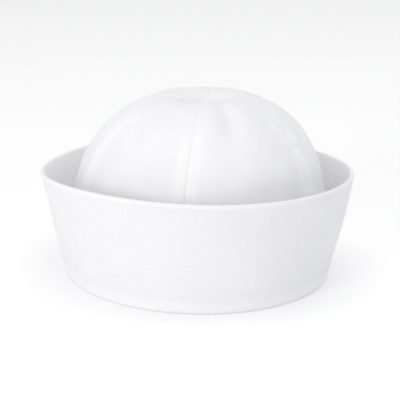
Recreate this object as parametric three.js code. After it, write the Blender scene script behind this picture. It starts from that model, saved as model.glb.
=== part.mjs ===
// A sailor cap: a domed crown sewn from six gores, inside a deep stitched brim that is folded
// at the foot and turned up all the way round.
//
// Millimetres, +Z up. The wearer faces -Y, so the long way of the oval runs along Y. The cap
// rests on the fold at the foot of its brim: z = 0 is that surface, and the origin is the
// middle of the oval. Angles round the cap ("turn") start at the front and grow towards +X.

import * as THREE from "three";

const DEGREE = Math.PI / 180;

// ---- Driving sizes ------------------------------------------------------------------------

// The brim's outer face: a small oval at the fold and a larger one at the rim.
const FOLD_OVAL = { halfWidth: 92, halfLength: 105.6 };
const RIM_OVAL = { halfWidth: 108.6, halfLength: 121.1 };

// The rim isn't level: it stands highest at the front, and waves a little on its way round.
const RIM_HEIGHT = 73.4;
const RIM_WAVES = [
  { waves: 1, cosine: 3.5, sine: -1.0 },
  { waves: 2, cosine: 0.8, sine: -0.9 },
  { waves: 3, cosine: -0.9, sine: 0.0 },
];

// The brim's cloth. Its foot turns in under the crown's edge and up again as a lip, so that
// the crown's edge stands in a channel.
const BRIM = {
  rimRadius: 1.4,
  foldRadius: 2.2,
  wallFoot: 2.6,
  floor: 1.3,
  lipThickness: 1.0,
  lipHeight: 12,
  lipCorner: 1.0,
};

const SEWN_GAP = 0.3; // between neighbouring pieces of cloth
const GORE_THICKNESS = 1.3;
const CROWN_INSET = BRIM.wallFoot + 0.4; // the crown's outer face, in from the fold's

// The crown's dome. The powers square up its shoulders, it leans a little to the front and to
// +X, and its top has sunk where the gores' points meet.
const DOME = {
  foot: BRIM.floor + SEWN_GAP,
  height: 129,
  spreadPower: 2.21,
  risePower: 3.39,
  leanX: 5.5,
  leanY: -7.5,
  dimpleDepth: 9.2,
  dimpleRadius: 23,
};

const GORE_COUNT = 6;
const FIRST_SEAM = -18; // degrees of turn
const TIP_RADIUS = 1.5; // where the gores' points are cut off

// Each gore puffs out between its seams, by this much at the shoulder.
const PUFF = { depth: 1.8, sunkAtSeam: 1.0, startsAt: 14, fullAt: 55, narrowing: 20 };

// Soft dents in the cloth of the crown: where they lie, in degrees of turn and of climb up the
// dome, how far they reach each way, how much they slant, and how deep they are in mm.
const DENTS = [
  { turn: 5, climb: 60, turnReach: 6, climbReach: 15, slant: 0.1, depth: 2.0 },
  { turn: -55, climb: 47, turnReach: 7, climbReach: 11, slant: -0.6, depth: 1.6 },
  { turn: 50, climb: 45, turnReach: 4, climbReach: 12, slant: 0.0, depth: 1.6 },
];

// How finely the faces are cut.
const STEPS = { perGore: 10, upGore: 18, upWall: 5, rimArc: 6, foldArc: 3, lipArc: 3 };

const CLOTH = { color: 0xf2f2f6, roughness: 0.9, metalness: 0 };

// ---- Forms --------------------------------------------------------------------------------

function ovalRadius({ halfWidth, halfLength }, turn) {
  return 1 / Math.hypot(Math.sin(turn) / halfWidth, Math.cos(turn) / halfLength);
}

function rimHeight(turn) {
  return RIM_WAVES.reduce(
    (height, { waves, cosine, sine }) =>
      height + cosine * Math.cos(waves * turn) + sine * Math.sin(waves * turn),
    RIM_HEIGHT,
  );
}

// The dome's radius from its own leaning axis. Climb runs from 0 at its foot to a quarter turn.
function domeRadius(turn, climb) {
  const spread = Math.cos(climb) ** (2 / DOME.spreadPower);
  return spread * (ovalRadius(FOLD_OVAL, turn) - CROWN_INSET);
}

function domePoint(turn, climb) {
  const rise = Math.sin(climb) ** (2 / DOME.risePower);
  const radius = domeRadius(turn, climb);
  const dimple = DOME.dimpleDepth * Math.exp(-((radius / DOME.dimpleRadius) ** 2));
  return new THREE.Vector3(
    radius * Math.sin(turn) + DOME.leanX * rise ** 2,
    -radius * Math.cos(turn) + DOME.leanY * rise ** 2,
    DOME.foot + (DOME.height - DOME.foot) * rise - dimple,
  );
}

function domeNormal(turn, climb) {
  const nudge = 0.001;
  const round = domePoint(turn + nudge, climb).sub(domePoint(turn - nudge, climb));
  const up = domePoint(turn, climb + nudge).sub(domePoint(turn, Math.max(climb - nudge, 0)));
  return round.cross(up).normalize();
}

// How far the cloth stands out from the dome: puffed between seams, sunk at seams and dents.
function relief(turn, climb) {
  const goreAngle = (2 * Math.PI) / GORE_COUNT;
  const acrossGore = THREE.MathUtils.euclideanModulo(turn - FIRST_SEAM * DEGREE, goreAngle) / goreAngle;
  const height = domePoint(turn, climb).z;
  const radius = domeRadius(turn, climb);
  const grown = THREE.MathUtils.smoothstep(height, PUFF.startsAt, PUFF.fullAt);
  const roomy = radius / (radius + PUFF.narrowing);
  const puff = PUFF.depth * Math.sin(Math.PI * acrossGore) - PUFF.sunkAtSeam;
  const fromFront = THREE.MathUtils.euclideanModulo(turn / DEGREE + 180, 360) - 180;
  const dents = DENTS.reduce((sum, dent) => {
    const upward = climb / DEGREE - dent.climb;
    const sideways = fromFront - dent.turn - dent.slant * upward;
    const falloff = (sideways / dent.turnReach) ** 2 + (upward / dent.climbReach) ** 2;
    return sum + dent.depth * Math.exp(-falloff);
  }, 0);
  return grown * (puff * roomy - dents);
}

function crownPoint(turn, climb, inward) {
  const out = relief(turn, climb) - inward;
  return domePoint(turn, climb).addScaledVector(domeNormal(turn, climb), out);
}

// Climbs that cut the dome's side, from its foot to the gores' cut-off points, into even lengths.
function evenClimbs(steps) {
  const side = Math.PI / 2;
  const samples = 600;
  const climbs = [];
  const lengths = [];
  let previous = domePoint(side, 0);
  let travelled = 0;
  for (let i = 0; i <= samples; i += 1) {
    const climb = (i / samples) * (Math.PI / 2);
    const point = domePoint(side, climb);
    if (domeRadius(side, climb) < TIP_RADIUS) break;
    travelled += point.distanceTo(previous);
    previous = point;
    climbs.push(climb);
    lengths.push(travelled);
  }
  return Array.from({ length: steps + 1 }, (_, step) => {
    const target = (travelled * step) / steps;
    return climbs[lengths.findIndex((length) => length >= target - 1e-9)];
  });
}

// ---- Skinning -----------------------------------------------------------------------------

// Skins a row of matching loops of points. A ring of loops runs back into its first. An open
// row is closed at both ends, across each loop from its first half to its second.
function loft(loops, isRing) {
  const size = loops[0].length;
  const indices = [];
  const quad = (a, b, c, d) => indices.push(a, b, c, a, c, d);
  const spans = isRing ? loops.length : loops.length - 1;
  for (let i = 0; i < spans; i += 1) {
    const here = i * size;
    const next = ((i + 1) % loops.length) * size;
    for (let k = 0; k < size; k += 1) {
      const up = (k + 1) % size;
      quad(here + k, next + k, next + up, here + up);
    }
  }
  if (!isRing) {
    const last = (loops.length - 1) * size;
    for (let k = 0; k < size / 2 - 1; k += 1) {
      const far = size - 1 - k;
      quad(k, k + 1, far - 1, far);
      quad(last + k, last + far, last + far - 1, last + k + 1);
    }
  }
  const geometry = new THREE.BufferGeometry().setFromPoints(loops.flat());
  geometry.setIndex(indices);
  geometry.computeVertexNormals();
  return geometry;
}

function clothPiece(name, geometry) {
  const mesh = new THREE.Mesh(geometry, new THREE.MeshStandardMaterial(CLOTH));
  mesh.name = name;
  return mesh;
}

// ---- Crown --------------------------------------------------------------------------------

function crownGore(index, climbs) {
  const goreAngle = (2 * Math.PI) / GORE_COUNT;
  const start = FIRST_SEAM * DEGREE + index * goreAngle;
  const loops = [];
  for (let column = 0; column <= STEPS.perGore; column += 1) {
    const across = column / STEPS.perGore;
    const turns = climbs.map((climb) => {
      const seamAllowance = Math.asin(SEWN_GAP / 2 / domeRadius(start, climb));
      return start + seamAllowance + across * (goreAngle - 2 * seamAllowance);
    });
    const outer = climbs.map((climb, row) => crownPoint(turns[row], climb, 0));
    const inner = climbs.map((climb, row) => crownPoint(turns[row], climb, GORE_THICKNESS));
    inner[0].z = outer[0].z;
    loops.push([...outer, ...inner.reverse()]);
  }
  return clothPiece(`crown_gore_${index + 1}`, loft(loops, false));
}

// ---- Brim ---------------------------------------------------------------------------------

function arc(centre, radius, from, to, steps) {
  return Array.from({ length: steps + 1 }, (_, step) => {
    const angle = from + ((to - from) * step) / steps;
    return [centre[0] + radius * Math.cos(angle), centre[1] + radius * Math.sin(angle)];
  });
}

// The points between two ends, without the ends.
function between(from, to, steps) {
  return Array.from({ length: steps - 1 }, (_, step) => {
    const part = (step + 1) / steps;
    return [from[0] + (to[0] - from[0]) * part, from[1] + (to[1] - from[1]) * part];
  });
}

// The brim cut through at one turn, as [radius, height] points: up the outer face, over the
// rim, down the inner face into the channel, over the lip, and back under along the foot.
function brimSection(turn) {
  const fold = ovalRadius(FOLD_OVAL, turn);
  const rim = [ovalRadius(RIM_OVAL, turn) - BRIM.rimRadius, rimHeight(turn) - BRIM.rimRadius];
  const foldCentre = [fold - BRIM.foldRadius, BRIM.foldRadius];
  const lean = Math.atan2(rim[0] - foldCentre[0], rim[1] - foldCentre[1]);

  const foldArc = arc(foldCentre, BRIM.foldRadius, -Math.PI / 2, -lean, STEPS.foldArc);
  const rimArc = arc(rim, BRIM.rimRadius, -lean, Math.PI - lean, STEPS.rimArc);
  const channelOuter = [fold - BRIM.wallFoot, BRIM.floor];

  const lipOuter = fold - CROWN_INSET - GORE_THICKNESS - SEWN_GAP;
  const lipHalf = BRIM.lipThickness / 2;
  const lipTop = [lipOuter - lipHalf, BRIM.lipHeight - lipHalf];
  const lipInner = lipOuter - BRIM.lipThickness;
  const lipCorner = [lipInner + BRIM.lipCorner, BRIM.lipCorner];

  return [
    ...foldArc,
    ...between(foldArc.at(-1), rimArc[0], STEPS.upWall),
    ...rimArc,
    ...between(rimArc.at(-1), channelOuter, STEPS.upWall),
    channelOuter,
    [lipOuter, BRIM.floor],
    ...arc(lipTop, lipHalf, 0, Math.PI, STEPS.lipArc),
    ...arc(lipCorner, BRIM.lipCorner, Math.PI, 1.5 * Math.PI, STEPS.lipArc),
  ];
}

function brim() {
  const sections = GORE_COUNT * STEPS.perGore;
  const loops = Array.from({ length: sections }, (_, i) => {
    const turn = FIRST_SEAM * DEGREE + (i / sections) * 2 * Math.PI;
    return brimSection(turn).map(
      ([radius, height]) => new THREE.Vector3(radius * Math.sin(turn), -radius * Math.cos(turn), height),
    );
  });
  return clothPiece("brim", loft(loops, true));
}

// ---- Cap ----------------------------------------------------------------------------------

const cap = new THREE.Group();
cap.add(brim());
const climbs = evenClimbs(STEPS.upGore);
for (let index = 0; index < GORE_COUNT; index += 1) {
  cap.add(crownGore(index, climbs));
}

export default cap;
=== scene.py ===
"""A white sailor cap: six crown gores and a deep stitched brim, dressed around the CAD frame.

Shapes are worked out in millimetres and become metres when a mesh is made. Angles round the cap
("turn") start at the front, -Y, and grow towards +X, as they do in the CAD model. "Climb" goes up
the crown, from 0 at its foot to a quarter turn at its top.
"""

import math

import bpy
import numpy as np
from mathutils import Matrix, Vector


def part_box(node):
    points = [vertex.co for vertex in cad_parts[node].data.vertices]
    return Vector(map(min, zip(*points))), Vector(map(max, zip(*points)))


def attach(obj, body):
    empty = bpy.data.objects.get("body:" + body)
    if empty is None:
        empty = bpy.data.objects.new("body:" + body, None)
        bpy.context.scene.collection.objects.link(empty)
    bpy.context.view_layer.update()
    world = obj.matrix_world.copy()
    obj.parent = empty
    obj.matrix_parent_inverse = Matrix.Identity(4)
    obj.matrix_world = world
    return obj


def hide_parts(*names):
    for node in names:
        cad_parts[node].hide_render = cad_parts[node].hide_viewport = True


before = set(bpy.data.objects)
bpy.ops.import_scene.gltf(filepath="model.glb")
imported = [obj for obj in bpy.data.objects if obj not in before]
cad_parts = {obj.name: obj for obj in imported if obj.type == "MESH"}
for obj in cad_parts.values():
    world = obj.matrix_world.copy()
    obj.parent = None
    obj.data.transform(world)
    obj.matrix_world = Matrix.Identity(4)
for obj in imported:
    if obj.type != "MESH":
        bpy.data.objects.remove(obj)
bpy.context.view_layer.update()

MM = 0.001

# ---- Sizes shared with the CAD model, in mm -------------------------------------------------

_, brim_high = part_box("brim")
RIM_OVAL = (brim_high.x / MM, brim_high.y / MM)
FOLD_OVAL = (92.0, 105.6)
RIM_HEIGHT = 73.4
RIM_WAVES = [  # waves per turn, cosine, sine
    (1, 3.5, -1.0),
    (2, 0.8, -0.9),
    (3, -0.9, 0.0),
]
RIM_RADIUS = 1.4
FOLD_RADIUS = 2.2
WALL_FOOT = 2.6
FLOOR = 1.3
BRIM_RADIUS = 105.0  # on average, to turn an angle into a length round it
LIP_THICKNESS = 1.0
LIP_HEIGHT = 12.0
LIP_CORNER = 1.0
SEWN_GAP = 0.3
GORE_THICKNESS = 1.3
CROWN_INSET = WALL_FOOT + 0.4

CROWN_FOOT = FLOOR + SEWN_GAP
CROWN_HEIGHT = 129.0
SPREAD_POWER = 2.21
RISE_POWER = 3.39
LEAN = (5.5, -7.5)
DIMPLE_DEPTH = 9.2
DIMPLE_RADIUS = 23.0
GORES = 6
GORE_ANGLE = 2 * math.pi / GORES
FIRST_SEAM = math.radians(-18)

# ---- Sizes of the sewn detail, in mm unless they say otherwise ---------------------------------

TIP_RADIUS = 0.35
GORE_COLUMNS = 80
GORE_ROWS = 150
GORE_CROWDING = 0.75  # how far the columns crowd towards the seams, from 0 to 1
PLAIN_FOOT = 14.0  # height up to which the crown keeps the dome's plain shape
DETAIL_FULL = 40.0  # height by which seams and wrinkles are full
PUFF_FULL = 55.0  # height by which puffs and dents are
PUFF = 1.8
PUFF_TOP = (2.0, 60.0)  # radii between which the puffs grow from the crown's top
PUFF_HALF = 20.0  # radius where they stand only half as high as they otherwise would

SEAM_SUNK = 1.0
SEAM_GROOVE = (0.7, 0.8)  # depth, half width
SEAM_BAND = (0.28, 8.5)  # height, width of the pressed seam allowance on each side
SEAM_BAND_EDGE = (1.2, 1.8)  # how far inside and outside that width it slopes down
SEAM_BAND_TOP = (4.0, 30.0)  # radii between which it grows from the crown's top
SEAM_WHITE_EDGE = 2.5  # how far its brighter white fades on each side of its edge
SEAM_FADE = (42, 66)  # climbs in degrees between which groove and brighter white fade out
SEAM_ALLOWANCE = 1.2  # how much thicker the inside is along a seam
SEAM_ALLOWANCE_EDGE = (7.0, 8.5)  # distances from the seam between which that ends
INSIDE_WEAVE = 300.0  # how far the inside's weave is moved, so that it isn't the outside's again

# Waves of the cloth: wavelength and height.
SEAM_PUCKER = (9.0, 0.13)
TOP_PUCKER = (9.0, 0.6)
CROWN_SLACK = (38.0, 0.35)
CROWN_WRINKLE = (14.0, 0.07)
BRIM_SLACK = (60.0, 0.5)
BRIM_WRINKLE = (11.0, 0.1)
WAVES_MIXED = 9  # how many plain waves each of them is made of
SEAM_PUCKER_REACH = 6.0
TOP_PUCKER_REACH = 22.0
TOP_PUCKER_START = (1.5, 8.0)  # radii between which it grows
TOP_PUCKER_PACE = (0.4, 12.0)  # its lengths: for each mm up the crown, for each radian round it

# Dents (+) and swellings (-) of the crown: turn and climb, their reach each way, all in degrees,
# slant in degrees of turn for each degree of climb, and depth in mm.
DENTS = [
    (5, 60, 8, 17, 0.1, 1.9),
    (5, 58, 5, 12, 0.3, 0.8),
    (14, 22, 12, 6, 0.0, 1.4),
    (29, 31, 7, 8, 0.0, -1.2),
    (-9, 58, 8, 16, 0.0, -0.8),
    (-66, 60, 8, 8, 0.0, -0.8),
    (-56, 47, 6, 9, -0.8, 2.9),
    (46, 48, 4, 7, 0.6, 1.7),
    (46, 37, 4, 5, -0.7, 1.4),
    (-34, 26, 7, 5, -1.6, 0.8),
]

# Dents and swellings of the brim: turn in degrees, height in mm, their reach, and depth in mm.
BRIM_DENTS = [
    (8, 17, 16, 6, 1.0),
    (-4, 6.5, 22, 3.0, -0.7),
    (38, 40, 14, 26, 0.9),
    (-48, 30, 16, 22, 0.7),
    (70, 34, 12, 24, -0.8),
]

BRIM_CALM_END = 0.06  # share of the brim's wall, at each end, where its relief fades out
PANEL_PUFF = 0.06
PANEL_ROUNDNESS = 0.7  # power of the puff's sine: less than 1 makes it flatter on top
PANEL_CROWDING = 0.7  # how far the wall's steps crowd towards the stitches, from 0 to 1
PANEL_STEPS = (9, 4)  # steps between two rows of stitches, on the outer and the inner face
FOLD_STEPS = 6
RIM_STEPS = 11
LIP_STEPS = 5
LIP_CORNER_STEPS = 4
BACK_RADIUS = 110.0  # roughly the brim's at its back joint, to turn an angle into a length
BACK_BAND = (0.3, 6.5, 9.0)  # height, and the distances between which its edge slopes
BACK_GROOVE = (0.9, 0.9)  # depth, half width

# How far the cloth goes towards the brighter white. These are judged from looks, and they are
# painted light: a painted highlight along the fold's foot and along the rim, and painted light over
# the inner face, where shade falls between the brim and the crown.
FOOT_PAINTED_HIGHLIGHT = 0.6
FOOT_PAINTED_HIGHLIGHT_EDGE = (4.0, 12.0)  # heights between which it fades
RIM_PAINTED_HIGHLIGHT = 0.65
INSIDE_PAINTED_LIGHT = 1.0

STITCH_ROWS = 7
FIRST_ROW = 0.118  # shares of the brim's slant, from the rim down
ROW_STEP = 0.1258
STITCHES = 186
COLUMNS_PER_STITCH = 4
STITCH_GROOVE = (0.07, 0.7)  # depth, half width
GROOVE_BETWEEN = 0.65  # share of that depth between two needle holes
STITCH_SPAN = (0.06, 0.94)  # where a stitch's thread starts and ends, as shares of its length
STITCH_PROFILE = [-0.3, 0.08, 0.15, 0.08, -0.3]  # height of its thread along it
STITCH_WIDTHS = [0.55, 0.95, 1.0, 0.95, 0.55]  # its thread's radius along it, as shares of THREAD_RADIUS
STITCH_TILT = 0.0008  # how far stitches tilt out of their row, as a share of the brim's slant
THREAD_RADIUS = 0.29
THREAD_SIDES = 6

# ---- Camera, light and floor, in metres, degrees and watts --------------------------------------

MIDDLE = Vector((0, 0, 0.06))
CAMERA_AZIMUTH = -11.9
CAMERA_ELEVATION = 14.2
CAMERA_DISTANCE = 1.1
CAMERA_LENS = 141.1  # mm, on a sensor 36 mm wide
AIM_RIGHT = 0.0025  # how far the camera looks to the right of the middle, and below it
AIM_BELOW = 0.0104
LIGHTS = [  # name, place, size, power, colour
    ("overhead", (0, 0.1, 2.2), 2.0, 12.4, (1, 0.995, 0.99)),
    ("key", (-1.6, -1.4, 0.4), 0.8, 9.5, (1, 0.99, 0.98)),
    ("fill", (1.2, -0.3, 1.9), 1.2, 2.4, (1, 0.99, 0.98)),
]
SKY_COLOUR = (0.98, 0.985, 1, 1)
SKY_STRENGTH = 0.64
FLOOR_REACH = 9000  # mm
FLOOR_COLOUR = (0.98, 0.98, 0.98, 1)
FLOOR_GLOW = 0.11  # the floor shines a little of its own, so that it comes out nearly white

rng = np.random.default_rng(11)


# ---- Small helpers ----------------------------------------------------------------------------


def smoothstep(low, high, value):
    t = np.clip((value - low) / (high - low), 0, 1)
    return t * t * (3 - 2 * t)


def from_front(turn):
    """A turn in degrees, from -180 to 180."""
    return np.degrees(np.remainder(turn + math.pi, 2 * math.pi) - math.pi)


def oval_radius(oval, turn):
    return 1 / np.hypot(np.sin(turn) / oval[0], np.cos(turn) / oval[1])


def crowd(even, strength):
    """Moves shares from 0 to 1 towards both ends."""
    return even - strength * np.sin(2 * math.pi * even) / (2 * math.pi)


def ripples(wavelength, stretch=1.0):
    """Smooth unrepeating waves over a cloth, from about -1 to 1, as a function of two lengths."""
    headings, phases = rng.uniform(0, 2 * math.pi, (2, WAVES_MIXED))
    paces = 2 * math.pi / (wavelength * rng.uniform(0.7, 1.5, WAVES_MIXED))

    def height(along, across):
        total = 0
        for heading, phase, pace in zip(headings, phases, paces):
            way = along * math.cos(heading) + across * math.sin(heading) / stretch
            total = total + np.sin(pace * way + phase)
        return total / math.sqrt(WAVES_MIXED * 2)

    return height


def mesh_object(name, points, faces, uv=None, layers_and_painted_light=None):
    """points in mm, faces as an array of quads, uv one pair and the brighter white's share one for each
    point: from sewn layers of cloth, and from painted light.
    """
    mesh = bpy.data.meshes.new(name)
    mesh.from_pydata((np.asarray(points) * MM).tolist(), [], [tuple(f) for f in faces])
    if uv is not None:
        layer = mesh.uv_layers.new(name="cloth_mm")
        corners = np.zeros(len(mesh.loops), dtype=np.int32)
        mesh.loops.foreach_get("vertex_index", corners)
        layer.data.foreach_set("uv", np.asarray(uv, dtype=np.float32)[corners].ravel())
    if layers_and_painted_light is not None:
        mesh.attributes.new("layers_and_painted_light", "FLOAT", "POINT").data.foreach_set("value", np.ravel(layers_and_painted_light))
    mesh.polygons.foreach_set("use_smooth", [True] * len(mesh.polygons))
    mesh.update()
    obj = bpy.data.objects.new(name, mesh)
    bpy.context.scene.collection.objects.link(obj)
    return obj


def skin(loops, is_ring):
    """Quads over a row of closed loops, given as (loops, points in each).

    An open row gets its ends closed by strips from each loop's first half across to its second.
    """
    count, size = loops
    index = np.arange(count * size).reshape(count, size)
    here = index if is_ring else index[:-1]
    after = np.roll(index, -1, axis=0) if is_ring else index[1:]
    quads = [here, after, np.roll(after, -1, axis=1), np.roll(here, -1, axis=1)]
    faces = [np.stack([q.ravel() for q in quads], axis=1)]
    if not is_ring:
        half = np.arange(size // 2 - 1)
        far = size - 1 - half
        faces.append(np.stack([half, half + 1, far - 1, far], axis=1))
        last = index[-1]
        faces.append(np.stack([last[half], last[far], last[far - 1], last[half + 1]], axis=1))
    return np.concatenate(faces)


# ---- Materials --------------------------------------------------------------------------------


def node(tree, kind, inputs=None, **settings):
    made = tree.nodes.new(kind)
    for key, value in settings.items():
        setattr(made, key, value)
    for key, value in (inputs or {}).items():
        if isinstance(value, bpy.types.NodeSocket):
            tree.links.new(value, made.inputs[key])
        else:
            made.inputs[key].default_value = value
    return made


def cloth_material(name, thin, thick_and_painted_light, twill_strength, crumple_strength):
    """White twill: fine slanting ribs and threads crossing them, softly mottled, with a bloom.

    A point attribute takes it from the colour of one layer of cloth, 0, to a brighter white, 1:
    that of several layers sewn together along the crown's seams, and a painted highlight and
    painted light on the brim's fold, rim and inner face.
    """
    material = bpy.data.materials.new(name)
    material.use_nodes = True
    tree = material.node_tree
    tree.nodes.clear()
    uv = node(tree, "ShaderNodeUVMap", uv_map="cloth_mm").outputs["UV"]

    slanted = node(tree, "ShaderNodeMapping", {"Vector": uv, "Rotation": (0, 0, math.radians(58))})
    ribs = node(
        tree,
        "ShaderNodeTexWave",
        {"Vector": slanted.outputs["Vector"], "Scale": 0.52, "Distortion": 0.6, "Detail": 1.0},
        bands_direction="X",
    )
    crossing = node(
        tree,
        "ShaderNodeTexWave",
        {"Vector": uv, "Scale": 0.9, "Distortion": 0.4},
        bands_direction="Y",
    )
    yarn = node(tree, "ShaderNodeTexNoise", {"Vector": uv, "Scale": 2.2, "Detail": 3.0})
    crumple = node(
        tree,
        "ShaderNodeTexNoise",
        {"Vector": uv, "Scale": 0.09, "Detail": 2.5, "Roughness": 0.45},
    )
    mottle = node(tree, "ShaderNodeTexNoise", {"Vector": uv, "Scale": 0.04, "Detail": 3.0})

    weave = node(
        tree,
        "ShaderNodeMath",
        {0: ribs.outputs["Fac"], 1: crossing.outputs["Fac"]},
        operation="MULTIPLY",
    )
    woven = node(
        tree,
        "ShaderNodeMath",
        {0: weave.outputs[0], 1: yarn.outputs["Fac"]},
        operation="ADD",
    )
    layers_and_painted_light = node(tree, "ShaderNodeAttribute", attribute_name="layers_and_painted_light").outputs["Fac"]
    # The brighter white stands for sewn layers on the crown, and for a painted highlight and painted
    # light on the brim.
    white = node(
        tree,
        "ShaderNodeMix",
        {"Factor": layers_and_painted_light, "A": (*thin, 1), "B": (*thick_and_painted_light, 1)},
        data_type="RGBA",
    )
    tint = node(
        tree,
        "ShaderNodeMapRange",
        {
            "Value": mottle.outputs["Fac"],
            "From Min": 0.3,
            "From Max": 0.7,
            "To Min": 0.985,
            "To Max": 1.0,
        },
    )
    colour = node(
        tree,
        "ShaderNodeVectorMath",
        {0: white.outputs[2], "Scale": tint.outputs["Result"]},
        operation="SCALE",
    )
    roughness = node(
        tree,
        "ShaderNodeMapRange",
        {"Value": yarn.outputs["Fac"], "To Min": 0.78, "To Max": 0.94},
    )
    soft_bump = node(
        tree,
        "ShaderNodeBump",
        {"Height": crumple.outputs["Fac"], "Strength": crumple_strength, "Distance": 0.8 * MM},
    )
    fine_bump = node(
        tree,
        "ShaderNodeBump",
        {
            "Height": woven.outputs[0],
            "Strength": twill_strength,
            "Distance": 0.12 * MM,
            "Normal": soft_bump.outputs["Normal"],
        },
    )
    shader = node(
        tree,
        "ShaderNodeBsdfPrincipled",
        {
            "Base Color": colour.outputs["Vector"],
            "Roughness": roughness.outputs["Result"],
            "Normal": fine_bump.outputs["Normal"],
            "Specular IOR Level": 0.25,
            "Sheen Weight": 0.12,
            "Sheen Roughness": 0.5,
        },
    )
    node(tree, "ShaderNodeOutputMaterial", {"Surface": shader.outputs["BSDF"]})
    return material


def thread_material():
    """Spun polyester thread: twisted plies that catch the light a little."""
    material = bpy.data.materials.new("sewing_thread")
    material.use_nodes = True
    tree = material.node_tree
    tree.nodes.clear()
    place = node(tree, "ShaderNodeTexCoord").outputs["Object"]
    plies = node(
        tree,
        "ShaderNodeTexWave",
        {"Vector": place, "Scale": 900.0, "Distortion": 1.0},
        bands_direction="DIAGONAL",
    )
    colour = node(
        tree,
        "ShaderNodeMix",
        {"Factor": plies.outputs["Fac"], "A": (0.98, 0.98, 0.98, 1), "B": (0.95, 0.95, 0.955, 1)},
        data_type="RGBA",
    )
    bump = node(
        tree,
        "ShaderNodeBump",
        {"Height": plies.outputs["Fac"], "Strength": 0.3, "Distance": 0.05 * MM},
    )
    shader = node(
        tree,
        "ShaderNodeBsdfPrincipled",
        {
            "Base Color": colour.outputs[2],
            "Roughness": 0.5,
            "Normal": bump.outputs["Normal"],
            "Specular IOR Level": 0.45,
        },
    )
    node(tree, "ShaderNodeOutputMaterial", {"Surface": shader.outputs["BSDF"]})
    return material


# ---- Crown ------------------------------------------------------------------------------------


def dome_radius(turn, climb):
    return np.cos(climb) ** (2 / SPREAD_POWER) * (oval_radius(FOLD_OVAL, turn) - CROWN_INSET)


def dome_point(turn, climb):
    rise = np.sin(climb) ** (2 / RISE_POWER)
    radius = dome_radius(turn, climb)
    dimple = DIMPLE_DEPTH * np.exp(-((radius / DIMPLE_RADIUS) ** 2))
    return np.stack(
        [
            radius * np.sin(turn) + LEAN[0] * rise**2,
            -radius * np.cos(turn) + LEAN[1] * rise**2,
            CROWN_FOOT + (CROWN_HEIGHT - CROWN_FOOT) * rise - dimple,
        ],
        axis=-1,
    )


def dome_normal(turn, climb):
    nudge = 0.001
    around = dome_point(turn + nudge, climb) - dome_point(turn - nudge, climb)
    up = dome_point(turn, climb + nudge) - dome_point(turn, np.maximum(climb - nudge, 0))
    normal = np.cross(around, up)
    return normal / np.linalg.norm(normal, axis=-1, keepdims=True)


def even_climbs(steps):
    """Climbs that cut the dome's side into even lengths, from its foot to the gores' tips.

    The side's whole length comes back with them.
    """
    side = math.pi / 2
    samples = 4000
    climbs = np.linspace(0, math.pi / 2, samples)
    climbs = climbs[dome_radius(side, climbs) > TIP_RADIUS]
    gaps = np.linalg.norm(np.diff(dome_point(np.full_like(climbs, side), climbs), axis=0), axis=-1)
    travelled = np.concatenate([[0], np.cumsum(gaps)])
    return np.interp(np.linspace(0, travelled[-1], steps + 1), travelled, climbs), travelled[-1]


def crown_dents(turn, climb):
    turn, climb = from_front(turn), np.degrees(climb)
    total = np.zeros(turn.shape)
    for at_turn, at_climb, turn_reach, climb_reach, slant, depth in DENTS:
        upward = climb - at_climb
        sideways = turn - at_turn - slant * upward
        total += depth * np.exp(-((sideways / turn_reach) ** 2) - (upward / climb_reach) ** 2)
    return total


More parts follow.
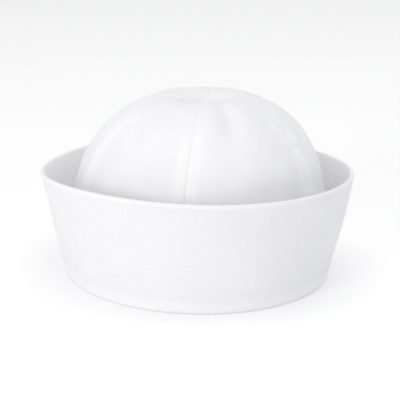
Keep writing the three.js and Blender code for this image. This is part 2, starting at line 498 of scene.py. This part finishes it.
def crown_gore(index, material):
    climbs, side_length = even_climbs(GORE_ROWS)
    start = FIRST_SEAM + index * GORE_ANGLE
    # Columns crowd towards the seams, where the cloth turns sharply in.
    even = np.linspace(0, 1, GORE_COLUMNS + 1)
    share = crowd(even, GORE_CROWDING)
    turn = (start + share * GORE_ANGLE)[:, None] + np.zeros(len(climbs))
    climb = np.broadcast_to(climbs, turn.shape)

    base = dome_point(turn, climb)
    normal = dome_normal(turn, climb)
    height = base[..., 2]
    radius = dome_radius(turn, climb)
    steps = np.linalg.norm(np.diff(base, axis=0), axis=-1)
    across = np.concatenate([np.zeros((1, len(climbs))), np.cumsum(steps, axis=0)])
    from_seam = np.minimum(across, across[-1] - across)
    along = np.broadcast_to(np.linspace(0, side_length, len(climbs)), turn.shape)

    free = smoothstep(PLAIN_FOOT, DETAIL_FULL, height)
    grown = smoothstep(PLAIN_FOOT, PUFF_FULL, height)
    arch = np.sin(math.pi * share[:, None])
    roomy = smoothstep(*PUFF_TOP, radius) * radius / (radius + PUFF_HALF)
    puff = grown * (PUFF * arch * roomy - SEAM_SUNK * roomy)
    relief = puff - grown * crown_dents(turn, climb)

    fade_start, fade_end = (math.radians(at) for at in SEAM_FADE)
    open_seam = 1 - smoothstep(fade_start, fade_end, climb)
    groove = SEAM_GROOVE[0] * open_seam * np.exp(-((from_seam / SEAM_GROOVE[1]) ** 2))
    band_height, band_width = SEAM_BAND
    edge_start, edge_end = band_width - SEAM_BAND_EDGE[0], band_width + SEAM_BAND_EDGE[1]
    band = band_height * (1 - smoothstep(edge_start, edge_end, from_seam))
    band = band * smoothstep(*SEAM_BAND_TOP, radius)

    wavelength, depth = SEAM_PUCKER
    pucker = np.exp(-((from_seam / SEAM_PUCKER_REACH) ** 2))
    pucker = pucker * ripples(wavelength, stretch=2.5)(along, across) * depth
    wavelength, depth = TOP_PUCKER
    top_pucker = np.exp(-((radius / TOP_PUCKER_REACH) ** 2))
    top_waves = ripples(wavelength)(along * TOP_PUCKER_PACE[0], turn * TOP_PUCKER_PACE[1])
    top_pucker = top_pucker * top_waves * depth * smoothstep(*TOP_PUCKER_START, radius)
    wavelength, depth = CROWN_SLACK
    slack = ripples(wavelength)(along, across) * depth * arch
    wavelength, depth = CROWN_WRINKLE
    wrinkle = ripples(wavelength)(along, across) * depth
    detail = free * (band - groove + pucker + top_pucker + slack + wrinkle)

    allowance = SEAM_ALLOWANCE * (1 - smoothstep(*SEAM_ALLOWANCE_EDGE, from_seam)) * free
    outer = base + normal * (relief + detail)[..., None]
    inner = base + normal * (relief - GORE_THICKNESS - allowance)[..., None]
    inner[:, 0, 2] = outer[:, 0, 2]
    loops = np.concatenate([outer, inner[:, ::-1]], axis=1)
    flat = np.stack([across, along], axis=-1)
    uv = np.concatenate([flat, flat[:, ::-1] + [0, INSIDE_WEAVE]], axis=1)
    white_start, white_end = band_width - SEAM_WHITE_EDGE, band_width + SEAM_WHITE_EDGE
    layers_and_painted_light = (1 - smoothstep(white_start, white_end, from_seam)) * open_seam
    layers_and_painted_light = np.concatenate([layers_and_painted_light, layers_and_painted_light[:, ::-1]], axis=1)
    faces = skin(loops.shape[:2], False)
    points, uv = loops.reshape(-1, 3), uv.reshape(-1, 2)
    gore = mesh_object(f"gore_{index + 1}", points, faces, uv, layers_and_painted_light)
    gore.data.materials.append(material)
    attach(gore, "root")
    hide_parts(f"crown_gore_{index + 1}")


# ---- Brim -------------------------------------------------------------------------------------


def rim_height(turn):
    waves = (c * np.cos(n * turn) + s * np.sin(n * turn) for n, c, s in RIM_WAVES)
    return RIM_HEIGHT + sum(waves)


def brim_frame(turn):
    """The fold's oval radius, the middles of the fold's and the rim's rounding, and the lean.

    The middles are (radius, height) pairs. The lean is the wall's, from upright.
    """
    fold = oval_radius(FOLD_OVAL, turn)
    rim_radius = oval_radius(RIM_OVAL, turn) - RIM_RADIUS
    rim = np.stack([rim_radius, rim_height(turn) - RIM_RADIUS], -1)
    foot = np.stack([fold - FOLD_RADIUS, np.full_like(turn, FOLD_RADIUS)], -1)
    lean = np.arctan2(rim[..., 0] - foot[..., 0], rim[..., 1] - foot[..., 1])
    return fold, foot, rim, lean


def arc(centre, radius, start, end, shares):
    angle = start[:, None] + (end - start)[:, None] * shares
    spoke = np.stack([np.cos(angle), np.sin(angle)], -1)
    return centre[:, None, :] + radius * spoke


def straight(start, end, shares):
    return start[:, None, :] + (end - start)[:, None, :] * np.asarray(shares)[None, :, None]


def wall_ends(turn):
    """Where the brim's outer and inner faces start at the foot and end at the rim."""
    fold, foot, rim, lean = brim_frame(turn)
    out = np.stack([np.cos(lean), -np.sin(lean)], -1)
    channel = np.stack([fold - WALL_FOOT, np.full_like(turn, FLOOR)], -1)
    return (foot + FOLD_RADIUS * out, rim + RIM_RADIUS * out), (channel, rim - RIM_RADIUS * out)


row_shares = 1 - (FIRST_ROW + ROW_STEP * np.arange(STITCH_ROWS))  # from the foot up
panel_edges = np.concatenate([[0], row_shares[::-1], [1]])
brim_slack = ripples(BRIM_SLACK[0], stretch=0.7)
brim_wrinkle = ripples(BRIM_WRINKLE[0], stretch=1.6)


def panel_shares(steps):
    """Shares up the brim's wall, crowding towards each row of stitches."""
    crowded = crowd(np.arange(steps) / steps, PANEL_CROWDING)
    panels = zip(panel_edges, panel_edges[1:])
    return np.concatenate([low + (high - low) * crowded for low, high in panels])


def wall_relief(turn, share, slant, phase):
    """How far a wall face stands out: pulled in along the stitches, puffed between them."""
    relief = np.zeros(np.broadcast(turn, share).shape)
    for low, high in zip(panel_edges, panel_edges[1:]):
        inside = (share >= low) & (share <= high)
        middle = np.sin(math.pi * np.clip((share - low) / (high - low), 0, 1))
        relief += np.where(inside, PANEL_PUFF * middle**PANEL_ROUNDNESS, 0)
    for row, at in enumerate(row_shares):
        hole = 0.5 + 0.5 * np.cos(STITCHES * turn + phase[row])
        depth = STITCH_GROOVE[0] * (GROOVE_BETWEEN + (1 - GROOVE_BETWEEN) * hole)
        relief -= depth * np.exp(-(((share - at) * slant / STITCH_GROOVE[1]) ** 2))
    return relief


def calm_ends(share):
    """Fades a wall face's relief out where it meets the fold and the rim."""
    foot = smoothstep(0, BRIM_CALM_END, share)
    rim = 1 - smoothstep(1 - BRIM_CALM_END, 1, share)
    return np.minimum(foot, rim)


def drape(turn, height):
    """How far the outer face hangs out of its plain shape, from its slack, ripples and dents."""
    away = from_front(turn)
    around = np.radians(away) * BRIM_RADIUS
    slack, wrinkle = brim_slack(around, height), brim_wrinkle(around, height)
    total = BRIM_SLACK[1] * slack + BRIM_WRINKLE[1] * wrinkle
    for at_turn, at_height, turn_reach, height_reach, depth in BRIM_DENTS:
        sideways, upward = (away - at_turn) / turn_reach, (height - at_height) / height_reach
        total = total - depth * np.exp(-(sideways**2) - upward**2)
    return total


def brim_piece(material, phase):
    columns = STITCHES * COLUMNS_PER_STITCH
    turn = math.pi + np.arange(columns) / columns * 2 * math.pi
    fold, foot, rim, lean = brim_frame(turn)
    (outer_foot, outer_rim), (inner_foot, inner_rim) = wall_ends(turn)
    slant = np.linalg.norm(outer_rim - outer_foot, axis=-1).mean()
    upright = np.zeros_like(turn)
    out = np.stack([np.cos(lean), -np.sin(lean)], -1)[:, None, :]

    around = turn[:, None] * BRIM_RADIUS
    from_back = np.abs(np.remainder(turn, 2 * math.pi) - math.pi)[:, None] * BACK_RADIUS
    band = BACK_BAND[0] * (1 - smoothstep(*BACK_BAND[1:], from_back))
    joint = band - BACK_GROOVE[0] * np.exp(-((from_back / BACK_GROOVE[1]) ** 2))

    up = panel_shares(PANEL_STEPS[0])
    outer = straight(outer_foot, outer_rim, up)
    relief = wall_relief(turn[:, None], up, slant, phase) + joint
    relief = relief + drape(turn[:, None], outer[..., 1])
    outer = outer + out * (relief * calm_ends(up))[..., None]

    down = panel_shares(PANEL_STEPS[1])[::-1]
    inner = straight(inner_foot, inner_rim, down)
    relief = wall_relief(turn[:, None], down, slant, phase) + joint
    inner = inner - out * (relief * calm_ends(down))[..., None]

    fold_shares = np.arange(FOLD_STEPS) / FOLD_STEPS
    rim_shares = np.arange(RIM_STEPS) / RIM_STEPS
    lip_shares = np.linspace(0, 1, LIP_STEPS)
    corner_shares = np.linspace(0, 1, LIP_CORNER_STEPS)
    half_turn = upright + math.pi
    fold_arc = arc(foot, FOLD_RADIUS, upright - math.pi / 2, -lean, fold_shares)
    rim_arc = arc(rim, RIM_RADIUS, -lean, math.pi - lean, rim_shares)
    lip_outer = fold - CROWN_INSET - GORE_THICKNESS - SEWN_GAP
    half = LIP_THICKNESS / 2
    lip_top = np.stack([lip_outer - half, upright + LIP_HEIGHT - half], -1)
    lip_corner = np.stack([lip_outer - LIP_THICKNESS + LIP_CORNER, upright + LIP_CORNER], -1)
    channel = np.stack([lip_outer, upright + FLOOR], -1)[:, None, :]
    lip_arc = arc(lip_top, half, upright, half_turn, lip_shares)
    corner_arc = arc(lip_corner, LIP_CORNER, half_turn, half_turn + math.pi / 2, corner_shares)

    runs = [fold_arc, outer, rim_arc, inner, channel, lip_arc, corner_arc]
    section = np.concatenate(runs, axis=1)
    points = np.stack(
        [
            section[..., 0] * np.sin(turn)[:, None],
            -section[..., 0] * np.cos(turn)[:, None],
            section[..., 1],
        ],
        axis=-1,
    )
    steps = np.linalg.norm(np.diff(section, axis=1), axis=-1)
    travelled = np.concatenate([np.zeros((columns, 1)), np.cumsum(steps, axis=1)], axis=1)
    uv = np.stack([np.broadcast_to(around, travelled.shape), travelled], axis=-1)
    step = np.arange(section.shape[1])
    rim_start = fold_arc.shape[1] + outer.shape[1]
    rim_end = rim_start + rim_arc.shape[1]
    # Painted highlight along the fold's foot, fading out with height.
    foot_painted_highlight = FOOT_PAINTED_HIGHLIGHT * (1 - smoothstep(*FOOT_PAINTED_HIGHLIGHT_EDGE, section[..., 1]))
    past_rim, from_rim = step >= rim_end, step >= rim_start - 1
    # Painted highlight along the rim and painted light over the whole inner face; the outer face keeps
    # the foot's painted highlight.
    layers_and_painted_light = np.select([past_rim, from_rim], [INSIDE_PAINTED_LIGHT, RIM_PAINTED_HIGHLIGHT], foot_painted_highlight)
    faces = skin(points.shape[:2], True)
    points, uv = points.reshape(-1, 3), uv.reshape(-1, 2)
    brim = mesh_object("brim_cloth", points, faces, uv, layers_and_painted_light)
    brim.data.materials.append(material)
    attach(brim, "root")
    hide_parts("brim")


def stitch_tubes(place, out, turn):
    """Rings of points round each stitch's thread, from its middle line and the way outwards."""
    sine, cosine = np.sin(turn), np.cos(turn)
    centre = np.stack([place[:, 0] * sine, -place[:, 0] * cosine, place[:, 1]], -1)
    outward = np.stack([out[:, 0] * sine, -out[:, 0] * cosine, out[:, 1]], -1)
    tangent = np.stack([cosine, sine, np.zeros_like(turn)], -1)
    upward = np.cross(tangent, outward)
    spin = np.arange(THREAD_SIDES) / THREAD_SIDES * 2 * math.pi
    ring = outward[:, None, :] * np.cos(spin)[None, :, None]
    ring = ring + upward[:, None, :] * np.sin(spin)[None, :, None]
    radius = np.tile(np.array(STITCH_WIDTHS) * THREAD_RADIUS, STITCHES)
    return centre[:, None, :] + ring * radius[:, None, None]


def stitch_faces(first_point):
    """The sides and end caps of one face's stitches, whose points start at first_point."""
    rings = len(STITCH_PROFILE)
    count = STITCHES * rings * THREAD_SIDES
    index = np.arange(count).reshape(STITCHES, rings, THREAD_SIDES) + first_point
    here, after = index[:, :-1], index[:, 1:]
    quads = np.stack([here, np.roll(here, -1, axis=2), np.roll(after, -1, axis=2), after], -1)
    caps = np.concatenate([index[:, 0, ::-1], index[:, -1]])
    return quads.reshape(-1, 4).tolist() + caps.tolist()


def stitch_row(row, material, phase):
    """One row of lockstitch: a run of short arched threads on each face of the brim."""
    rings = len(STITCH_PROFILE)
    points, faces = [], []
    for is_outer in (True, False):
        shift = 0 if is_outer else math.pi
        start = (np.arange(STITCHES) * 2 * math.pi - phase[row] + shift) / STITCHES
        turn = start[:, None] + np.linspace(*STITCH_SPAN, rings) * 2 * math.pi / STITCHES
        tilt = rng.normal(0, STITCH_TILT, STITCHES)[:, None] * np.linspace(-1, 1, rings)
        share = (row_shares[row] + tilt).ravel()
        turn = turn.ravel()
        *_, lean = brim_frame(turn)
        foot, rim = wall_ends(turn)[0 if is_outer else 1]
        place = foot + (rim - foot) * share[:, None]
        out = (1 if is_outer else -1) * np.stack([np.cos(lean), -np.sin(lean)], -1)
        lift = np.tile(STITCH_PROFILE, STITCHES) - STITCH_GROOVE[0] * GROOVE_BETWEEN
        if is_outer:
            lift = lift + drape(turn, place[:, 1]) * calm_ends(share)
        tubes = stitch_tubes(place + out * lift[:, None], out, turn)
        faces += stitch_faces(sum(len(p) for p in points))
        points.append(tubes.reshape(-1, 3))
    stitches = mesh_object(f"stitch_row_{row + 1}", np.concatenate(points), faces)
    stitches.data.materials.append(material)
    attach(stitches, "root")


# ---- Camera, light and floor --------------------------------------------------------------------


def aim(obj, target):
    obj.rotation_euler = (target - obj.location).to_track_quat("-Z", "Y").to_euler()


def add_camera():
    azimuth, elevation = math.radians(CAMERA_AZIMUTH), math.radians(CAMERA_ELEVATION)
    away = Vector(
        (
            math.sin(azimuth) * math.cos(elevation),
            -math.cos(azimuth) * math.cos(elevation),
            math.sin(elevation),
        )
    )
    data = bpy.data.cameras.new("camera")
    data.sensor_width = 36
    data.lens = CAMERA_LENS
    camera = bpy.data.objects.new("camera", data)
    bpy.context.scene.collection.objects.link(camera)
    camera.location = MIDDLE + away * CAMERA_DISTANCE
    right = Vector((math.cos(azimuth), math.sin(azimuth), 0))
    above = right.cross(-away)
    aim(camera, MIDDLE + right * AIM_RIGHT - above * AIM_BELOW)
    bpy.context.scene.camera = camera


def add_light(name, location, size, power, colour):
    data = bpy.data.lights.new(name, "AREA")
    data.shape = "DISK"
    data.size = size
    data.energy = power
    data.color = colour
    light = bpy.data.objects.new(name, data)
    bpy.context.scene.collection.objects.link(light)
    light.location = location
    aim(light, MIDDLE)


def add_studio():
    scene = bpy.context.scene
    scene.view_settings.view_transform = "Standard"
    world = bpy.data.worlds.new("studio")
    world.use_nodes = True
    sky = world.node_tree.nodes["Background"]
    sky.inputs["Color"].default_value = SKY_COLOUR
    sky.inputs["Strength"].default_value = SKY_STRENGTH
    scene.world = world
    for light in LIGHTS:
        add_light(*light)


def add_floor():
    reach = FLOOR_REACH
    corners = [(-reach, -reach, 0), (reach, -reach, 0), (reach, reach, 0), (-reach, reach, 0)]
    floor = mesh_object("floor", corners, [(0, 1, 2, 3)])
    material = bpy.data.materials.new("white_sweep")
    material.use_nodes = True
    shader = material.node_tree.nodes["Principled BSDF"]
    shader.inputs["Base Color"].default_value = FLOOR_COLOUR
    shader.inputs["Roughness"].default_value = 0.9
    shader.inputs["Emission Color"].default_value = (1, 1, 1, 1)
    shader.inputs["Emission Strength"].default_value = FLOOR_GLOW
    floor.data.materials.append(material)


# ---- The cap ------------------------------------------------------------------------------------

add_camera()
add_studio()
add_floor()
# The crown's twill is the brim's, but it is given a lighter white here. That is painted light, which
# lifts the crown's shaded sides and foot.
crown_cloth_with_painted_light = cloth_material("crown_cloth_with_painted_light", (0.942, 0.942, 0.957), (0.985, 0.985, 0.987), 0.3, 0.3)
# The brim's brighter white is used for its painted highlights and for painted light on its inner face.
brim_cloth = cloth_material("brim_cloth", (0.89, 0.89, 0.901), (0.98, 0.98, 0.984), 0.3, 0.25)
thread = thread_material()
stitch_phase = rng.uniform(0, 2 * math.pi, STITCH_ROWS)
for number in range(GORES):
    crown_gore(number, crown_cloth_with_painted_light)
brim_piece(brim_cloth, stitch_phase)
for number in range(STITCH_ROWS):
    stitch_row(number, thread, stitch_phase)
